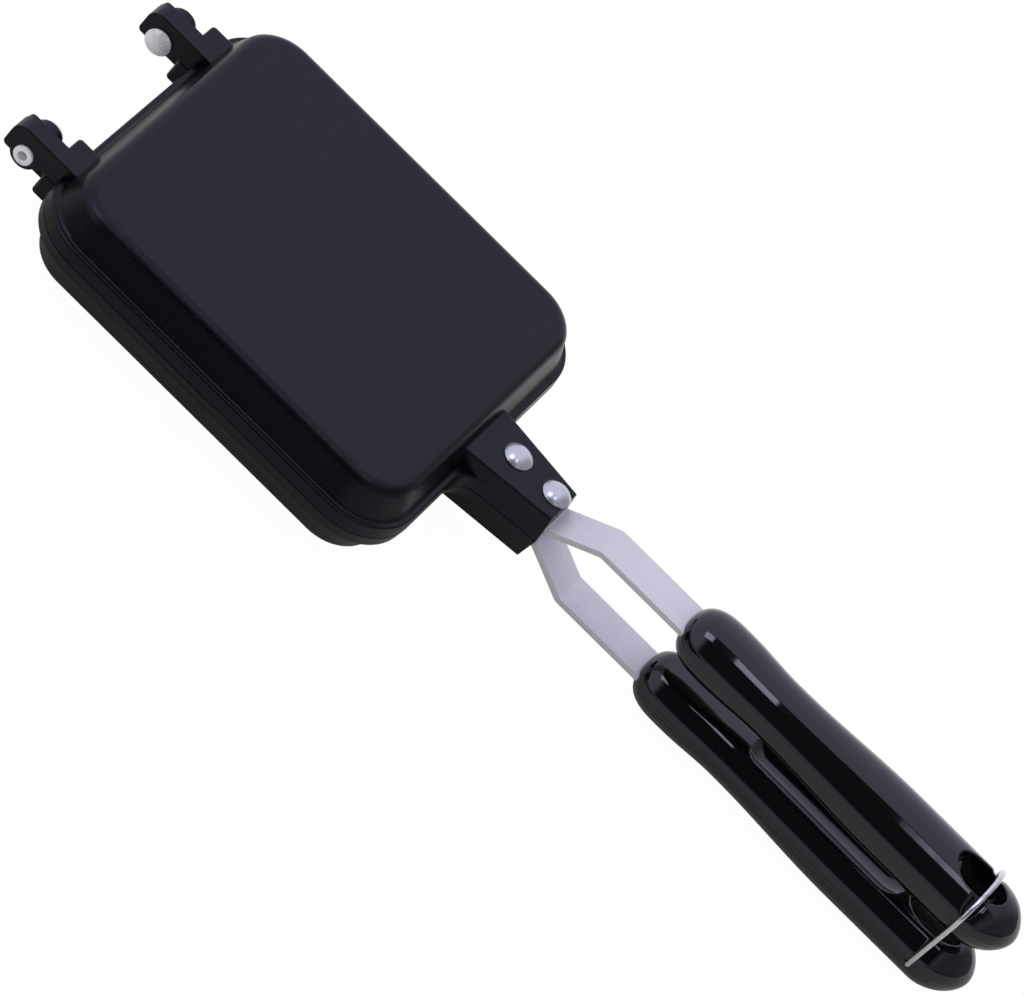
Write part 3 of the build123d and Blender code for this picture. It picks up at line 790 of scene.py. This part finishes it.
def makeWorld(setup):
    world = bpy.data.worlds.new("studio")
    bpy.context.scene.world = world
    world.use_nodes = True
    tree = world.node_tree
    camera, gloss = whenSeen(tree)
    axes = axesOf(tree, put(tree, "ShaderNodeTexCoord").outputs["Generated"])
    toCamera = sums(tree, "MULTIPLY", axes["Y"], -1.0)
    front = ramp(tree, toCamera, *setup["darkBack"])
    sideways = ramp(tree, sums(tree, "ABSOLUTE", axes["X"]), *setup["darkAcross"], 1, 0)
    dark = sums(tree, "MULTIPLY", front, sideways)
    dark = sums(tree, "MULTIPLY", dark, ramp(tree, axes["Z"], *setup["darkFrom"]))
    lowFront = sums(tree, "MULTIPLY", front, ramp(tree, axes["Z"], *setup["darkFrom"], 1, 0))
    light = ramp(tree, axes["X"], *setup["tailSide"], 1.0, setup["tailShade"])
    light = sums(tree, "MULTIPLY", light, ramp(tree, lowFront, 0, 1, 1.0, setup["floorInGloss"][0]))
    room = mixNumber(tree, dark, light, setup["darkSide"])
    across = sums(tree, "ADD", *(between(tree, axes["X"], limits) for limits in setup["lampAcross"]))
    lamp = sums(tree, "MULTIPLY", between(tree, toCamera, setup["lampLean"]), across)
    lamp = sums(tree, "MULTIPLY", lamp, ramp(tree, axes["Z"], *setup["lampFrom"]))
    room = sums(tree, "MULTIPLY_ADD", lamp, setup["lampGlow"], room)
    lit = sums(tree, "ADD", setup["ambient"], sums(tree, "MULTIPLY", camera, 1.0 - setup["ambient"]))
    feed(tree, tree.nodes["Background"], {
        "Color": mixColour(tree, gloss, (1, 1, 1, 1), setup["roomTint"]),
        "Strength": mixNumber(tree, gloss, lit, room),
    })


# One soft lamp from above and behind gives the faint shadow; the gloss is left to the room
lampSetup = {
    "key": {"azimuth": 70, "elevation": 62, "distance": 1.6, "size": (0.9, 0.7), "power": 4.5},
}


def makeLamp(name, setup):
    data = bpy.data.lights.new(name, "AREA")
    data.shape = "RECTANGLE"
    data.size, data.size_y = setup["size"]
    data.energy = setup["power"]
    lamp = bpy.data.objects.new(name, data)
    bpy.context.scene.collection.objects.link(lamp)
    azimuth, elevation = math.radians(setup["azimuth"]), math.radians(setup["elevation"])
    away = Vector((math.cos(azimuth) * math.cos(elevation), math.sin(azimuth) * math.cos(elevation),
                   math.sin(elevation)))
    lamp.location = (cadBox[0] + cadBox[1]) / 2 + away * setup["distance"]
    lamp.rotation_euler = away.to_track_quat("Z", "X").to_euler()
    lamp.visible_glossy = False


# Camera: looks along +Y and down, turned so that the grips run to the lower right corner
cameraSetup = {
    "azimuth": -1.059,
    "elevation": 42.242,
    "turn": 43.905,
    "distance": 2.30526,
    "target": (0.084961, 0, partingZ),
    "rise": -0.00152,
    "sensor": 36.0,
    "lens": 280.82,
    "clip": (0.1, 50),
}


def makeCamera(setup):
    data = bpy.data.cameras.new("camera")
    data.sensor_width = setup["sensor"]
    data.lens = setup["lens"]
    data.clip_start, data.clip_end = setup["clip"]
    camera = bpy.data.objects.new("camera", data)
    bpy.context.scene.collection.objects.link(camera)
    bpy.context.scene.camera = camera
    azimuth, elevation, turn = (math.radians(setup[key]) for key in ("azimuth", "elevation", "turn"))
    ahead = Vector((math.sin(azimuth) * math.cos(elevation), math.cos(azimuth) * math.cos(elevation),
                    -math.sin(elevation)))
    right = Vector((math.cos(azimuth), -math.sin(azimuth), 0))
    up = right.cross(ahead)
    target = Vector(setup["target"]) + up * setup["rise"]
    imageRight = right * math.cos(turn) + up * math.sin(turn)
    imageUp = up * math.cos(turn) - right * math.sin(turn)
    place = Matrix((imageRight, imageUp, -ahead)).transposed().to_4x4()
    place.translation = target - ahead * setup["distance"]
    camera.matrix_world = place


# The pans keep their CAD shape; everything else is made anew on its CAD place
coating = makeCoating(coatingLook)
strapSteel = makeSteel(steelLook)
brightFinish = {name: makeBright(name, look, brightGrain) for name, look in brightLook.items()}
for name, node in nodes.items():
    node.data.materials.clear()
    node.data.materials.append(coating if name.endswith("_pan") else strapSteel)
print("materials done")

strapTree, rivetTree, pinTree = makeStrapTree(), makeRivetTree(), makePinTree()
for half, side in halves.items():
    grow(strapTree, half + "_strap_steel", strapSteel, {**strapSizes, "side": side},
         half + "_half", "strap_steel", half + "_strap")
    grow(rivetTree, half + "_rivets", brightFinish["rivetAluminium"], {**rivetSizes, "side": side},
         half + "_half", "rivet_aluminium", half + "_rivet_1", half + "_rivet_2")
    gripFinish = makeGripPlastic(gripLook, half, gripSizes["midHeight"] * mm)
    makeGrip(gripSizes, cutSizes, latchSizes, gripFit, half, gripFinish)
grow(pinTree, "hinge_pins", brightFinish["pinAluminium"], {**pinSizes, "axisX": jointPlace["pan_hinge"].x},
     "lower_half", "rivet_aluminium", "hinge_pin_left", "hinge_pin_right")
bailSizes = bailInputs(latchSizes)
grow(makeBailTree(bailSizes), "bail_wire", brightFinish["bailWire"], bailSizes,
     "bail", "bail_wire", "latch_bail")
print("pieces done")

makeFloor(stageSetup)
makeWorld(stageSetup)
for name, setup in lampSetup.items():
    makeLamp(name, setup)
makeCamera(cameraSetup)
bpy.context.scene.view_settings.view_transform = "Standard"
print("stage and camera done")
